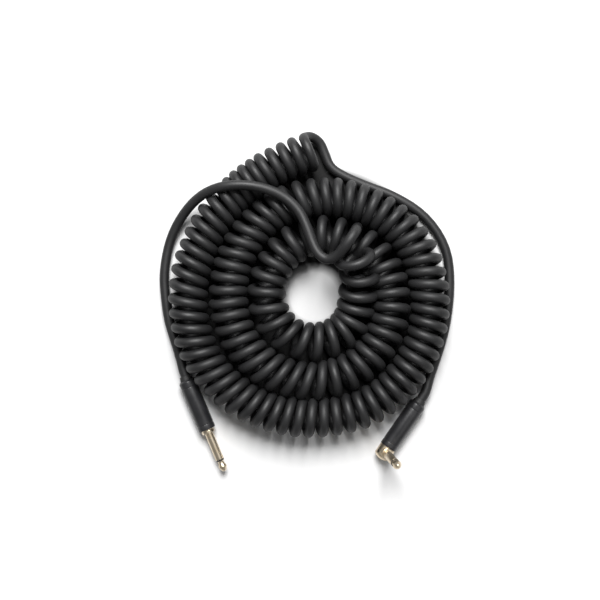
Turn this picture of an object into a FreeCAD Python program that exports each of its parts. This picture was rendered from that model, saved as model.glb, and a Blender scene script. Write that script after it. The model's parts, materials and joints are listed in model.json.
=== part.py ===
# Coiled instrument cable: a curly cord wound flat into a spiral, with a tail at each end,
# one straight and one right-angle quarter-inch plug. Millimetres, +Z up, the table at Z = 0,
# the origin on the table under the middle of the whole.
import FreeCAD, Part
import math
import os

import Sketcher
from FreeCAD import Placement, Rotation, Vector

# Every size that can be set by itself, in millimetres, degrees or as a count.
SIZES = {
    # cord and its curls
    "cord_d": 7.0,
    "cord_sides": 5,
    "curl_d": 27.4,
    "curl_count": 85,
    "runs_per_curl": 8,
    "flat_share": 0.1,
    # the route of the wound tube: an opening stretch, half rings that shrink, a climb
    "ring_radius": 90.0,
    "half_rings": 5,
    "ring_gap": 0.7,
    "centre_x": 4.2,
    "centre_y": 2.45,
    "opening_run": 38.0,
    "opening_extra": 10.0,
    "opening_turn": 66.0,
    "lead_run": 6.0,
    "climb_run": 10.0,
    "climb_radius": 35.0,
    "climb_turn": 50.0,
    "climb_length": 62.0,
    "climb_height": 26.4,
    # the last curl, which opens into a flat bend on top
    "bend_run": 5.0,
    "bend_radius": 9.0,
    "bend_end_heading": 112.0,
    "bend_steps": 5,
    # the first curl, which runs out on the table
    "lift_run": 12.5,
    "run_out_turn": 17.5,
    "run_out_steps": 2,
    "run_out_step": 5.0,
    "tail_lead": 13.0,
    # where the plugs lie, as seen from the centre of the outer ring
    "straight_bearing": 242.7,
    "straight_out": 54.55,
    "straight_heading": 112.8,
    "angle_bearing": 295.3,
    "angle_out": 36.05,
    "angle_heading": 55.3,
    "angle_lean": 12.0,
    # pin of a quarter-inch plug
    "plug_d": 6.35,
    "pin_reach": 31.0,
    "nose_end_d": 3.0,
    "nose_len": 3.8,
    "neck_d": 4.3,
    "neck_len": 2.0,
    "tip_len": 8.4,
    "tip_ring_len": 1.1,
    "tip_ring_inset": 0.2,
    "rod_d": 2.0,
    "insulator_wall": 0.6,
    "fit_gap": 0.05,
    # collar, thread and the seats behind it
    "collar_d": 9.8,
    "collar_len": 3.0,
    "thread_d": 9.0,
    "thread_len": 4.6,
    "spigot_d": 5.8,
    "spigot_len": 2.4,
    "washer_d": 6.0,
    "washer_len": 1.2,
    # tip lug, riveted on the rod
    "tip_lug_d": 4.6,
    "tip_lug_plate": 0.5,
    "tip_lug_width": 2.4,
    "tip_lug_len": 6.6,
    "rivet_d": 3.0,
    "rivet_len": 0.8,
    # ground lug with the clamp that grips the jacket
    "ground_lug_plate": 0.6,
    "ground_lug_width": 3.4,
    "lug_sides": 8,
    "clamp_setback": 0.8,
    "clamp_len": 3.6,
    "clamp_opening": 3.0,
    # stripped end of the cord
    "jacket_place": 22.0,
    "core_sides": 6,
    "core_d": 2.8,
    "core_len": 6.0,
    "wire_d": 1.0,
    "wire_len": 5.0,
    "shield_d": 1.6,
    "shield_len": 8.0,
    "tinned_len": 2.0,
    # liner, shell and rear bushing
    "shell_d": 13.0,
    "shell_len": 40.0,
    "shell_wall": 1.0,
    "shell_back_chamfer": 1.0,
    "shell_back_wall": 3.5,
    "unscrew_travel": 3.75,
    "liner_wall": 0.4,
    "liner_gap": 0.2,
    "liner_sides": 12,
    "end_gap": 0.3,
    "bushing_wall": 0.8,
    "cord_clearance": 0.3,
    # right-angle head
    "head_d": 12.4,
    "head_front": 6.3,
    "head_back": 4.4,
    "head_chamfer": 1.8,
    "boss_d": 8.4,
    "boss_reach": 7.1,
    "sleeve_depth": 3.0,
    "head_bore_d": 4.6,
    "head_bore_front": 2.2,
    "bush_wall": 0.75,
    "strap_plate": 0.8,
    "strap_front": 1.6,
}

doc = FreeCAD.newDocument("instrument_cable")
sheet = doc.addObject("Spreadsheet::Sheet", "sizes")
for row, (name, number) in enumerate(SIZES.items(), start=1):
    sheet.set(f"A{row}", name)
    sheet.set(f"B{row}", str(number))
    sheet.setAlias(f"B{row}", name)
doc.recompute()

UP = Vector(0, 0, 1)


class Size:
    """A size worked out from the sheet: its number now, and the expression that binds it."""

    def __init__(self, number, text):
        self.number = number
        self.text = text

    def combine(self, sign, number, other):
        text = other.text if isinstance(other, Size) else str(other)
        return Size(number, f"({self.text} {sign} {text})")

    def __add__(self, other):
        return self.combine("+", self.number + plain(other), other)

    def __sub__(self, other):
        return self.combine("-", self.number - plain(other), other)

    def __mul__(self, other):
        return self.combine("*", self.number * plain(other), other)

    def __truediv__(self, other):
        return self.combine("/", self.number / plain(other), other)


def plain(value):
    return value.number if isinstance(value, Size) else value


def size(name):
    return Size(float(sheet.get(name)), f"sizes.{name}")


def number(name):
    return size(name).number


ZERO = Size(0.0, "0")


# Building blocks

pieces = []


def finish(thing, label, frame):
    """Give a sub-part its own label and place, and put it on the list of pieces."""
    thing.Label = label
    thing.Placement = frame
    pieces.append(thing)
    return thing


def origin_plane(body, role):
    return next(feature for feature in body.Origin.OriginFeatures if feature.Role == role)


def bind_point(sketch, line, point):
    """Hold the start of a sketch line at the radius and height that the sheet gives."""
    for kind, value, axis in (("DistanceX", point[0], -2), ("DistanceY", point[1], -1)):
        if value is ZERO:
            sketch.addConstraint(Sketcher.Constraint("PointOnObject", line, 1, axis))
            continue
        held = sketch.addConstraint(Sketcher.Constraint(kind, -1, 1, line, 1, value.number))
        sketch.setExpression(f"Constraints[{held}]", value.text)


def draw_outline(sketch, outline):
    """Closed outline of (radius, height) points joined by straight lines."""
    spots = [Vector(radius.number, height.number, 0) for radius, height in outline]
    for start, end in zip(spots, spots[1:] + spots[:1]):
        sketch.addGeometry(Part.LineSegment(start, end), False)
    for line, point in enumerate(outline):
        following = (line + 1) % len(outline)
        sketch.addConstraint(Sketcher.Constraint("Coincident", line, 2, following, 1))
        bind_point(sketch, line, point)


def turned(name, outline):
    """A turned piece: an outline of (radius, height) points, revolved round its own Z axis."""
    body = doc.addObject("PartDesign::Body", name)
    sketch = body.newObject("Sketcher::SketchObject", name + "_outline")
    sketch.AttachmentSupport = [(origin_plane(body, "XZ_Plane"), "")]
    sketch.MapMode = "FlatFace"
    draw_outline(sketch, outline)
    turn = body.newObject("PartDesign::Revolution", name + "_turn")
    turn.Profile = sketch
    turn.ReferenceAxis = (sketch, ["V_Axis"])
    turn.Angle = 360.0
    sketch.Visibility = False
    return body


def rod(name, radius, start, length):
    """A round rod or bore along Z."""
    cylinder = doc.addObject("Part::Cylinder", name)
    cylinder.setExpression("Radius", radius.text)
    cylinder.setExpression("Height", length.text)
    cylinder.setExpression("Placement.Base.z", start.text)
    return cylinder


def prism(name, sides, radius, start, length):
    """A prism along Z whose corners lie at a radius, with a flat side on each side along Y."""
    bar = doc.addObject("Part::Prism", name)
    bar.Placement = Placement(Vector(), Rotation(UP, 90 - 180 / sides.number))
    bar.setExpression("Polygon", sides.text)
    bar.setExpression("Circumradius", radius.text)
    bar.setExpression("Height", length.text)
    bar.setExpression("Placement.Base.z", start.text)
    return bar


def flat_radius(sides):
    """How far a prism's sides lie from its axis, as a share of its corners' radius."""
    return math.cos(math.pi / sides.number)


def cross_rod(name, radius, start, length, along):
    """A round rod or bore that leaves the Z axis along Y, at a height along Z."""
    cylinder = doc.addObject("Part::Cylinder", name)
    cylinder.Placement = Placement(Vector(), Rotation(Vector(1, 0, 0), -90))
    cylinder.setExpression("Radius", radius.text)
    cylinder.setExpression("Height", length.text)
    cylinder.setExpression("Placement.Base.y", start.text)
    cylinder.setExpression("Placement.Base.z", along.text)
    return cylinder


def block(name, width, rise, low, start, length):
    """A box centred on X, with its underside at Y = low and its front at Z = start."""
    box = doc.addObject("Part::Box", name)
    box.setExpression("Length", width.text)
    box.setExpression("Width", rise.text)
    box.setExpression("Height", length.text)
    box.setExpression("Placement.Base.x", f"-({width.text}) / 2")
    box.setExpression("Placement.Base.y", low.text)
    box.setExpression("Placement.Base.z", start.text)
    return box


def fused(name, parts):
    whole = doc.addObject("Part::MultiFuse", name)
    whole.Shapes = parts
    return whole


def cut(name, base, tools):
    left = doc.addObject("Part::Cut", name)
    left.Base = base
    left.Tool = tools[0] if len(tools) == 1 else fused(name + "_tools", tools)
    return left


def formed(label, shape):
    """A soft or wound piece whose shape is made here from the sheet's sizes."""
    thing = doc.addObject("Part::Feature", label)
    thing.Shape = shape
    return finish(thing, label, Placement())


# Sizes that follow from the sheet

cord_r = number("cord_d") / 2
half_turn_of_run = math.pi / number("runs_per_curl")
corner_r = number("curl_d") / 2 - cord_r / math.cos(half_turn_of_run)
axis_height = number("curl_d") / 2 - number("flat_share") * number("cord_d")
ring_step = (number("curl_d") + number("ring_gap")) / 2
ring_centre = Vector(number("centre_x"), number("centre_y"), 0)

plug_r = size("plug_d") / 2
rod_r = size("rod_d") / 2
rod_bore_r = rod_r + size("fit_gap")
insulator_r = rod_bore_r + size("insulator_wall")
sleeve_bore_r = insulator_r + size("fit_gap")
tip_ring_end = size("tip_len") + size("tip_ring_len")
thread_r = size("thread_d") / 2
spigot_r = size("spigot_d") / 2
spigot_end = size("thread_len") + size("spigot_len")
washer_end = spigot_end + size("washer_len")
tip_lug_end = washer_end + size("tip_lug_plate")
rivet_end = tip_lug_end + size("rivet_len")
shell_r = size("shell_d") / 2
shell_bore_r = shell_r - size("shell_wall")
shell_back = size("shell_len") - size("shell_back_wall")
tip_lug_low = size("tip_lug_d") / 2 - size("tip_lug_plate")
ground_lug_r = size("cord_d") / 2 + size("fit_gap") + size("ground_lug_plate")
bushing_bore_r = size("cord_d") / 2 + size("cord_clearance")
bushing_r = bushing_bore_r + size("bushing_wall")


# Frames of the two plugs: Z runs along the handle towards the cord

def frame_of(origin, y_axis, z_axis):
    return Placement(origin, Rotation(y_axis.cross(z_axis), y_axis, z_axis, "ZYX"))


def heading(degrees):
    return Vector(math.cos(math.radians(degrees)), math.sin(math.radians(degrees)), 0)


def beside_ring(bearing, out, height):
    """A point at a bearing from the outer ring's centre, a distance outside that ring's line."""
    return ring_centre + heading(bearing) * (number("ring_radius") + out) + UP * height


def plug_frames():
    """Pin frame (origin at the tip's end) and handle frame (origin at the shell's seat)."""
    low = number("shell_d") / 2
    back = heading(number("straight_heading"))
    end = beside_ring(number("straight_bearing"), number("straight_out"), low)
    pin = frame_of(end, UP, back)
    seat = end + back * (number("pin_reach") + number("collar_len"))
    frames = {"straight": (pin, frame_of(seat, UP, back))}
    back = heading(number("angle_heading"))
    side = back.cross(UP)
    lean = math.radians(number("angle_lean"))
    rise = UP * math.cos(lean) + side * math.sin(lean)
    middle = beside_ring(number("angle_bearing"), number("angle_out"), low)
    end = middle + rise * (number("boss_reach") + number("pin_reach"))
    seat = middle + back * number("head_back")
    frames["angle"] = (frame_of(end, back, rise * -1), frame_of(seat, rise, back))
    return frames


# Pieces of a plug

def contact_tip(plug, frame, rivet_start):
    """The tip contact, turned in one with the centre rod and its rivet head."""
    neck_r = size("neck_d") / 2
    rivet_r = size("rivet_d") / 2
    rod_end = rivet_start + size("rivet_len")
    outline = [
        (ZERO, ZERO),
        (size("nose_end_d") / 2, ZERO),
        (plug_r, size("nose_len")),
        (neck_r, size("tip_len") - size("neck_len")),
        (neck_r, size("tip_len")),
        (rod_r, size("tip_len")),
        (rod_r, rivet_start),
        (rivet_r, rivet_start),
        (rivet_r, rod_end),
        (ZERO, rod_end),
    ]
    finish(turned(plug + "_contact_tip", outline), plug + "_contact_tip", frame)


def tip_insulator(plug, frame, end):
    """Moulded insulator: the ring between tip and sleeve, in one with the tube on the rod."""
    name = plug + "_tip_insulator"
    sides = size("liner_sides")
    start = size("tip_len")
    ring_r = plug_r - size("tip_ring_inset")
    ring = rod(name + "_ring", ring_r, start, size("tip_ring_len"))
    long_tube = prism(name + "_tube", sides, insulator_r, start, end - start)
    bore = prism(name + "_bore", sides, rod_bore_r / flat_radius(sides), start, end - start)
    whole = fused(name + "_whole", [ring, long_tube])
    finish(cut(name, whole, [bore]), name, frame)


def straight_sleeve(frame):
    """Earth contact of the straight plug, turned in one with collar, thread and spigot."""
    seat = size("pin_reach") + size("collar_len")
    collar_r = size("collar_d") / 2
    outline = [
        (sleeve_bore_r, tip_ring_end),
        (plug_r, tip_ring_end),
        (plug_r, size("pin_reach")),
        (collar_r, size("pin_reach")),
        (collar_r, seat),
        (thread_r, seat),
        (thread_r, seat + size("thread_len")),
        (spigot_r, seat + size("thread_len")),
        (spigot_r, seat + spigot_end),
        (sleeve_bore_r, seat + spigot_end),
    ]
    finish(turned("straight_sleeve", outline), "straight_sleeve", frame)


def angle_sleeve(frame):
    """Earth contact of the right-angle plug, with a spigot pressed into the boss of the head."""
    end = size("pin_reach") + size("sleeve_depth")
    outline = [
        (sleeve_bore_r, tip_ring_end),
        (plug_r, tip_ring_end),
        (plug_r, size("pin_reach")),
        (spigot_r, size("pin_reach")),
        (spigot_r, end),
        (sleeve_bore_r, end),
    ]
    finish(turned("angle_sleeve", outline), "angle_sleeve", frame)


def angle_head(frame):
    """Head of the right-angle plug: rounded block, boss for the pin, thread and spigot."""
    front = size("head_front")
    seat = front + size("head_back")
    head_r = size("head_d") / 2
    chamfer = size("head_chamfer")
    outline = [
        (ZERO, ZERO),
        (head_r - chamfer, ZERO),
        (head_r, chamfer),
        (head_r, seat),
        (thread_r, seat),
        (thread_r, seat + size("thread_len")),
        (spigot_r, seat + size("thread_len")),
        (spigot_r, seat + spigot_end),
        (ZERO, seat + spigot_end),
    ]
    block_of_head = turned("angle_head_block", outline)
    reach = size("boss_reach")
    boss = cross_rod("angle_head_boss", size("boss_d") / 2, ZERO, reach, front)
    solid = fused("angle_head_solid", [block_of_head, boss])
    bore_start = front - size("head_bore_front")
    bore = rod("angle_head_bore", size("head_bore_d") / 2, bore_start, seat + spigot_end)
    pin_seat = reach - size("sleeve_depth")
    seat_bore_r = spigot_r + size("fit_gap")
    seat_bore = cross_rod("angle_head_seat_bore", seat_bore_r, pin_seat, reach, front)
    rod_bore = cross_rod("angle_head_rod_bore", sleeve_bore_r, ZERO, reach, front)
    finish(cut("angle_head", solid, [bore, seat_bore, rod_bore]), "angle_head", frame)


def ground_lug(plug, frame):
    """Solder lug of the sleeve: a ring on the spigot, an arm and a clamp round the jacket."""
    name = plug + "_ground_lug"
    plate = size("ground_lug_plate")
    sides = size("lug_sides")
    outer = ground_lug_r / flat_radius(sides)
    inner = (ground_lug_r - plate) / flat_radius(sides)
    start = size("thread_len")
    clamp_start = size("jacket_place") + size("clamp_setback")
    clamp_len = size("clamp_len")
    ring_plate = prism(name + "_ring_plate", sides, outer, start, plate)
    ring_bore_r = (spigot_r + size("fit_gap")) / flat_radius(sides)
    ring_bore = prism(name + "_ring_bore", sides, ring_bore_r, start, plate)
    ring = cut(name + "_ring", ring_plate, [ring_bore])
    low = ZERO - ground_lug_r
    arm_len = clamp_start + clamp_len - start
    arm = block(name + "_arm", size("ground_lug_width"), plate, low, start, arm_len)
    clamp_body = prism(name + "_clamp_body", sides, outer, clamp_start, clamp_len)
    clamp_bore = prism(name + "_clamp_bore", sides, inner, clamp_start, clamp_len)
    slit = block(name + "_slit", size("clamp_opening"), ground_lug_r, ZERO, clamp_start, clamp_len)
    clamp = cut(name + "_clamp", clamp_body, [clamp_bore, slit])
    finish(fused(name, [ring, arm, clamp]), name, frame)


def straight_washer(frame):
    """Insulating washer between the spigot and the tip lug."""
    sides = size("liner_sides")
    start = spigot_end
    body = prism("straight_washer_body", sides, size("washer_d") / 2, start, size("washer_len"))
    bore_r = rod_bore_r / flat_radius(sides)
    bore = prism("straight_washer_bore", sides, bore_r, start, size("washer_len"))
    finish(cut("straight_washer", body, [bore]), "straight_washer", frame)


def angle_bush(frame):
    """Insulating bush that carries the tip strap through the head."""
    sides = size("liner_sides")
    outer = size("head_bore_d") / 2 - size("fit_gap")
    inner = outer - size("bush_wall") / flat_radius(sides)
    body = prism("angle_bush_body", sides, outer, ZERO, washer_end)
    bore = prism("angle_bush_bore", sides, inner, ZERO, washer_end)
    finish(cut("angle_bush", body, [bore]), "angle_bush", frame)


def straight_tip_lug(frame):
    """Solder lug of the tip: a disc under the rivet head, with an arm beside the head."""
    name = "straight_tip_lug"
    plate = size("tip_lug_plate")
    disc = prism(name + "_disc", size("lug_sides"), size("tip_lug_d") / 2, washer_end, plate)
    width = size("tip_lug_width")
    arm = block(name + "_arm", width, plate, tip_lug_low, washer_end, size("tip_lug_len"))
    hole_r = rod_bore_r / flat_radius(size("lug_sides"))
    hole = prism(name + "_hole", size("lug_sides"), hole_r, washer_end, plate)
    finish(cut(name, fused(name + "_solid", [disc, arm]), [hole]), name, frame)


def angle_tip_strap(frame):
    """Strap that carries the tip's contact from the rod, through the bush, to the core."""
    name = "angle_tip_strap"
    plate = size("strap_plate")
    start = ZERO - size("head_back") - size("strap_front")
    length = washer_end + size("tip_lug_len") - start
    strap = block(name + "_bar", size("tip_lug_width"), plate, ZERO - plate / 2, start, length)
    hole = cross_rod(name + "_hole", rod_bore_r, ZERO - plate, plate * 2, ZERO - size("head_back"))
    finish(cut(name, strap, [hole]), name, frame)


def beside(frame, shift):
    """The same frame, moved along its own Y."""
    return frame.multiply(Placement(Vector(0, shift.number, 0), Rotation()))


def core(plug, frame, lug_face):
    """Inner conductor: its insulation, and the bare wire laid against the tip's lug."""
    name = plug + "_core"
    sides = size("core_sides")
    wire_r = size("wire_d") / 2
    bared = size("jacket_place") - size("core_len")
    covered = prism(name + "_covered", sides, size("core_d") / 2, bared, size("core_len"))
    wire = prism(name + "_wire", sides, wire_r, bared - size("wire_len"), size("wire_len"))
    shift = lug_face + wire_r * flat_radius(sides)
    finish(fused(name, [covered, wire]), name, beside(frame, shift))


def shield(plug, frame):
    """Braid, twisted into a strand along the ground lug's arm."""
    name = plug + "_shield"
    sides = size("core_sides")
    shield_r = size("shield_d") / 2
    start = size("jacket_place") - size("shield_len")
    strand = prism(name + "_strand", sides, shield_r, start, size("shield_len"))
    tinned_len = size("tinned_len")
    tinned = prism(name + "_tinned", sides, size("wire_d") / 2, start - tinned_len, tinned_len)
    shift = ZERO - (ground_lug_r - size("ground_lug_plate")) + shield_r * flat_radius(sides)
    finish(fused(name, [strand, tinned]), name, beside(frame, shift))


def liner(plug, frame):
    """Insulating tube inside the shell."""
    name = plug + "_liner"
    sides = size("liner_sides")
    outer = shell_bore_r - size("liner_gap")
    inner = outer - size("liner_wall") / flat_radius(sides)
    start = size("thread_len") + size("end_gap")
    length = shell_back - size("end_gap") - start
    body = prism(name + "_body", sides, outer, start, length)
    bore = prism(name + "_bore", sides, inner, start, length)
    finish(cut(name, body, [bore]), name, frame)


def shell(plug, frame):
    """Screwed shell: threaded mouth, bore for the liner, and a back wall with the cord's hole."""
    name = plug + "_shell"
    mouth_r = thread_r + size("fit_gap")
    hole_r = bushing_r + size("fit_gap")
    chamfer = size("shell_back_chamfer")
    outline = [
        (mouth_r, ZERO),
        (shell_r, ZERO),
        (shell_r, size("shell_len") - chamfer),
        (shell_r - chamfer, size("shell_len")),
        (hole_r, size("shell_len")),
        (hole_r, shell_back),
        (shell_bore_r, shell_back),
        (shell_bore_r, size("thread_len")),
        (mouth_r, size("thread_len")),
    ]
    finish(turned(name, outline), name, frame)


def bushing(plug, frame):
    """Soft bushing pressed into the shell's back."""
    name = plug + "_bushing"
    sides = size("liner_sides")
    body = prism(name + "_body", sides, bushing_r, shell_back, size("shell_back_wall"))
    bore_r = bushing_bore_r / flat_radius(sides)
    bore = prism(name + "_bore", sides, bore_r, shell_back, size("shell_back_wall"))
    finish(cut(name, body, [bore]), name, frame)


def cord_end(plug, frame, lug_face):
    """Everything behind the plug's thread that a handle of either kind holds."""
    ground_lug(plug, frame)
    core(plug, frame, lug_face)
    shield(plug, frame)
    liner(plug, frame)
    shell(plug, frame)
    bushing(plug, frame)


def straight_plug(pin, handle):
    seat = size("pin_reach") + size("collar_len")
    contact_tip("straight", pin, seat + tip_lug_end)
    tip_insulator("straight", pin, seat + spigot_end)
    straight_sleeve(pin)
    straight_washer(handle)
    straight_tip_lug(handle)
    cord_end("straight", handle, tip_lug_low - size("wire_d") * flat_radius(size("core_sides")))


def angle_plug(pin, handle):
    to_axis = size("pin_reach") + size("boss_reach")
    half_strap = size("strap_plate") / 2
    contact_tip("angle", pin, to_axis + half_strap)
    tip_insulator("angle", pin, to_axis - half_strap)
    angle_sleeve(pin)
    back = number("head_front") + number("head_back")
    angle_head(handle.multiply(Placement(Vector(0, 0, -back), Rotation())))
    angle_bush(handle)
    angle_tip_strap(handle)
    cord_end("angle", handle, half_strap)


# The wound curly cord

class Route:
    """Plan of the wound tube: runs and left-hand bends, each (length, turn), end to end."""

    def __init__(self, course, spans):
        self.course = course
        self.spans = spans
        self.shift = Vector()
        self.length = sum(length for length, turn in spans)

    def place(self, distance):
        """Point and course at a distance along the route."""
        spot = Vector(self.shift)
        course = self.course
        for length, turn in self.spans:
            part = min(distance, length)
            bend = turn * part / length
            if turn:
                radius = length / turn
                spot.x += radius * (math.sin(course + bend) - math.sin(course))
                spot.y += radius * (math.cos(course) - math.cos(course + bend))
            else:
                spot.x += part * math.cos(course)
                spot.y += part * math.sin(course)
            course += bend
            distance -= part
            if distance <= 0:
                break
        return spot, course


def spiral_route():
    """Opening stretch, half rings that each shrink by half a ring step, and the way to the climb."""
    opening_turn = math.radians(number("opening_turn"))
    opening_radius = number("ring_radius") + number("opening_extra")
    opening = [
        (number("opening_run"), 0),
        (opening_radius * opening_turn, opening_turn),
        (number("lead_run"), 0),
    ]
    radii = [number("ring_radius") - ring_step * place for place in range(int(number("half_rings")))]
    climb_turn = math.radians(number("climb_turn"))
    climb = [(number("climb_run"), 0), (number("climb_radius") * climb_turn, climb_turn)]
    spans = opening + [(radius * math.pi, math.pi) for radius in radii] + climb
    route = Route(math.radians(270) - opening_turn, spans)
    opening_end, course = route.place(sum(length for length, turn in opening))
    route.shift = ring_centre - Vector(number("ring_radius"), 0, 0) - opening_end
    return route


def tube_axis(route, distance):
    """Point on the wound tube's axis, its direction, and the two directions square to it."""
    spot, course = route.place(distance)
    share = (distance - route.length + number("climb_length")) / number("climb_length")
    share = min(max(share, 0), 1)
    spot.z = axis_height + number("climb_height") * share ** 2 * (3 - 2 * share)
    slope = number("climb_height") * 6 * share * (1 - share) / number("climb_length")
    along = Vector(math.cos(course), math.sin(course), slope).normalize()
    outward = Vector(math.sin(course), -math.cos(course), 0)
    return spot, along, outward, outward.cross(along)


def curl_corners(route):
    """Corners of the cord's centre line: it starts under the tube's axis and ends above it."""
    runs = int(number("runs_per_curl"))
    steps = int(number("curl_count")) * runs + runs // 2
    corners = []
    for step in range(steps + 1):
        spot, along, outward, over = tube_axis(route, route.length * step / steps)
        angle = 2 * math.pi * step / runs - math.pi / 2
        corners.append(spot + (outward * math.cos(angle) + over * math.sin(angle)) * corner_r)
    return corners, route.length / steps


def end_course(route, distance, advance, sense):
    """Level direction of the cord where a curl passes straight under or over the tube's axis."""
    spot, along, outward, over = tube_axis(route, distance)
    across = outward * (sense * corner_r * 2 * half_turn_of_run)
    flat = across + Vector(along.x, along.y, 0) * advance
    return flat.normalize()


def curly_centre_line():
    """All corners of the curly cord, with its level ends, and the two end directions."""
    route = spiral_route()
    corners, advance = curl_corners(route)
    away = end_course(route, 0, advance, 1) * -1
    spot = Vector(corners[0].x, corners[0].y, cord_r) + away * number("lift_run")
    run_out = []
    for step in range(int(number("run_out_steps"))):
        run_out.append(spot)
        away = Rotation(UP, number("run_out_turn")).multVec(away)
        spot = spot + away * number("run_out_step")
    run_out.append(run_out[-1] + away * number("cord_d"))
    start = run_out[::-1]
    course = end_course(route, route.length, advance, -1)
    turn = math.degrees(math.atan2(course.y, course.x)) % 360 - number("bend_end_heading")
    steps = int(number("bend_steps"))
    step_turn = math.radians(turn) / steps
    step_run = 2 * number("bend_radius") * math.tan(step_turn / 2)
    spot = corners[-1] + course * number("bend_run")
    bend = []
    direction = course
    for step in range(steps):
        bend.append(spot)
        direction = Rotation(UP, -math.degrees(step_turn)).multVec(direction)
        spot = spot + direction * step_run
    bend.append(bend[-1] + direction * number("cord_d"))
    return start + corners + bend, away, direction


def section(start, direction):
    """Cord's section square to a direction: a polygon whose corners lie on the cord's circle."""
    sides = int(number("cord_sides"))
    across = direction.cross(UP).normalize()
    over = across.cross(direction)
    corners = []
    for side in range(sides):
        angle = 2 * math.pi * (side + 0.5) / sides
        corners.append(start + (across * math.cos(angle) + over * math.sin(angle)) * cord_r)
    return Part.makePolygon(corners + corners[:1])


def section_area():
    sides = number("cord_sides")
    return sides * cord_r ** 2 * math.sin(2 * math.pi / sides) / 2


def least_gap(corners):
    """Least clear way between stretches of a cord, on points a millimetre or so apart."""
    points = []
    travelled = 0
    for start, end in zip(corners, corners[1:]):
        run = end - start
        count = max(int(run.Length), 1)
        for part in range(count):
            points.append((start + run * (part / count), travelled + run.Length * part / count))
        travelled += run.Length
    cell = 2 * number("cord_d")
    grid = {}
    for point, place in points:
        key = (int(point.x // cell), int(point.y // cell), int(point.z // cell))
        grid.setdefault(key, []).append((point, place))
    least = cell
    for (column, line, level), group in grid.items():
        near = []
        for beside_x in (-1, 0, 1):
            for beside_y in (-1, 0, 1):
                for beside_z in (-1, 0, 1):
                    key = (column + beside_x, line + beside_y, level + beside_z)
                    near.extend(grid.get(key, ()))
        for point, place in group:
            for other, other_place in near:
                if other_place - place > 3 * number("cord_d"):
                    least = min(least, point.distanceToPoint(other))
    return least - number("cord_d")


def curly_cord():
    """Unbroken cord of all the curls, in mitred straight runs, cut flat where it rests."""
    corners, away, onward = curly_centre_line()
    path = Part.makePolygon(corners)
    first = (corners[1] - corners[0]).normalize()
    solid = path.makePipeShell([section(corners[0], first)], True, False, 1)
    share = solid.Volume / (section_area() * path.Length)
    print("curly cord: length", round(path.Length), "mm")
    print("curly cord: least gap to itself", round(least_gap(corners), 2), "mm")
    print("curly cord: volume against section times length", round(share, 4))
    reach = number("ring_radius") * 4
    depth = number("cord_d")
    floor = Part.makeBox(reach, reach, depth, Vector(-reach / 2, -reach / 2, -depth))
    formed("curly_cord", solid.cut(floor))
    return corners[0], away, corners[-1], onward


# The two tails

# Share of the shorter of two runs that the arc between them takes up
ARC_SHARE = 0.45


def rounded_path(points):
    """Straight runs joined by tangent arcs, with the radii of the arcs and the length."""
    runs = [end - start for start, end in zip(points, points[1:])]
    edges = []
    radii = []
    reached = points[0]
    for corner, before, after in zip(points[1:], runs, runs[1:]):
        turn = before.getAngle(after)
        setback = ARC_SHARE * min(before.Length, after.Length)
        radius = setback / math.tan(turn / 2)
        incoming = Vector(before).normalize()
        outgoing = Vector(after).normalize()
        arc_start = corner - incoming * setback
        arc_end = corner + outgoing * setback
        inward = (outgoing - incoming).normalize()
        middle = corner + inward * (radius / math.cos(turn / 2) - radius)
        edges.append(Part.LineSegment(reached, arc_start).toShape())
        edges.append(Part.Arc(arc_start, middle, arc_end).toShape())
        radii.append(radius)
        reached = arc_end
    edges.append(Part.LineSegment(reached, points[-1]).toShape())
    return Part.Wire(edges), radii


def tail(label, points):
    """A free stretch of the cord along its points."""
    path, radii = rounded_path(points)
    first = (points[1] - points[0]).normalize()
    solid = path.makePipeShell([section(points[0], first)], True, False)
    share = solid.Volume / (section_area() * path.Length)
    print(label + ": length", round(path.Length, 1), "mm, radii", [round(radius) for radius in radii])
    print(label + ": volume against section times length", round(share, 4))
    formed(label, solid)


def way_into(handle):
    """Last two points of a tail: behind the shell, and where the jacket ends inside it.

    The run between them stays straight until past the back of the unscrewed shell.
    """
    jacket = number("jacket_place")
    straight_until = number("shell_len") + number("unscrew_travel") + number("end_gap")
    exit_place = jacket + (straight_until - jacket) / (1 - ARC_SHARE)
    return [handle.multVec(Vector(0, 0, exit_place)), handle.multVec(Vector(0, 0, jacket))]


# Free points of the tails: bearing from the outer ring's centre, then distance outside that
# ring's line and height over the table, both in diameters of the cord.
STRAIGHT_TAIL = [
    (100.1, -2.65, 6.43),
    (111.2, 0.36, 5.64),
    (126.2, 2.76, 5.43),
    (140.9, 4.18, 3.14),
    (157.3, 4.26, 0.93),
    (173.5, 3.83, 0.57),
]
ANGLE_TAIL = [
    (53.1, 1.51, 0.54),
    (37.4, 1.97, 0.51),
    (21.3, 2.24, 0.54),
    (6.6, 2.37, 0.51),
    (-9.0, 2.52, 0.6),
]


def free_points(places):
    cord_d = number("cord_d")
    return [beside_ring(bearing, out * cord_d, rise * cord_d) for bearing, out, rise in places]


def straight_tail(start, onward, handle):
    """From the inner end, over the rings, down past the spiral and into the straight plug."""
    points = [start, start + onward * number("tail_lead")] + free_points(STRAIGHT_TAIL)
    tail("straight_tail", points + way_into(handle))


def angle_tail(start, away, handle):
    """From the outer end, round the spiral on the table and into the right-angle plug."""
    points = [start, start + away * number("tail_lead")] + free_points(ANGLE_TAIL)
    tail("angle_tail", points + way_into(handle))


# The whole

frames = plug_frames()
straight_plug(*frames["straight"])
angle_plug(*frames["angle"])
outer_end, away, inner_end, onward = curly_cord()
straight_tail(inner_end, onward, frames["straight"][1])
angle_tail(outer_end, away, frames["angle"][1])
doc.recompute()

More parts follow.
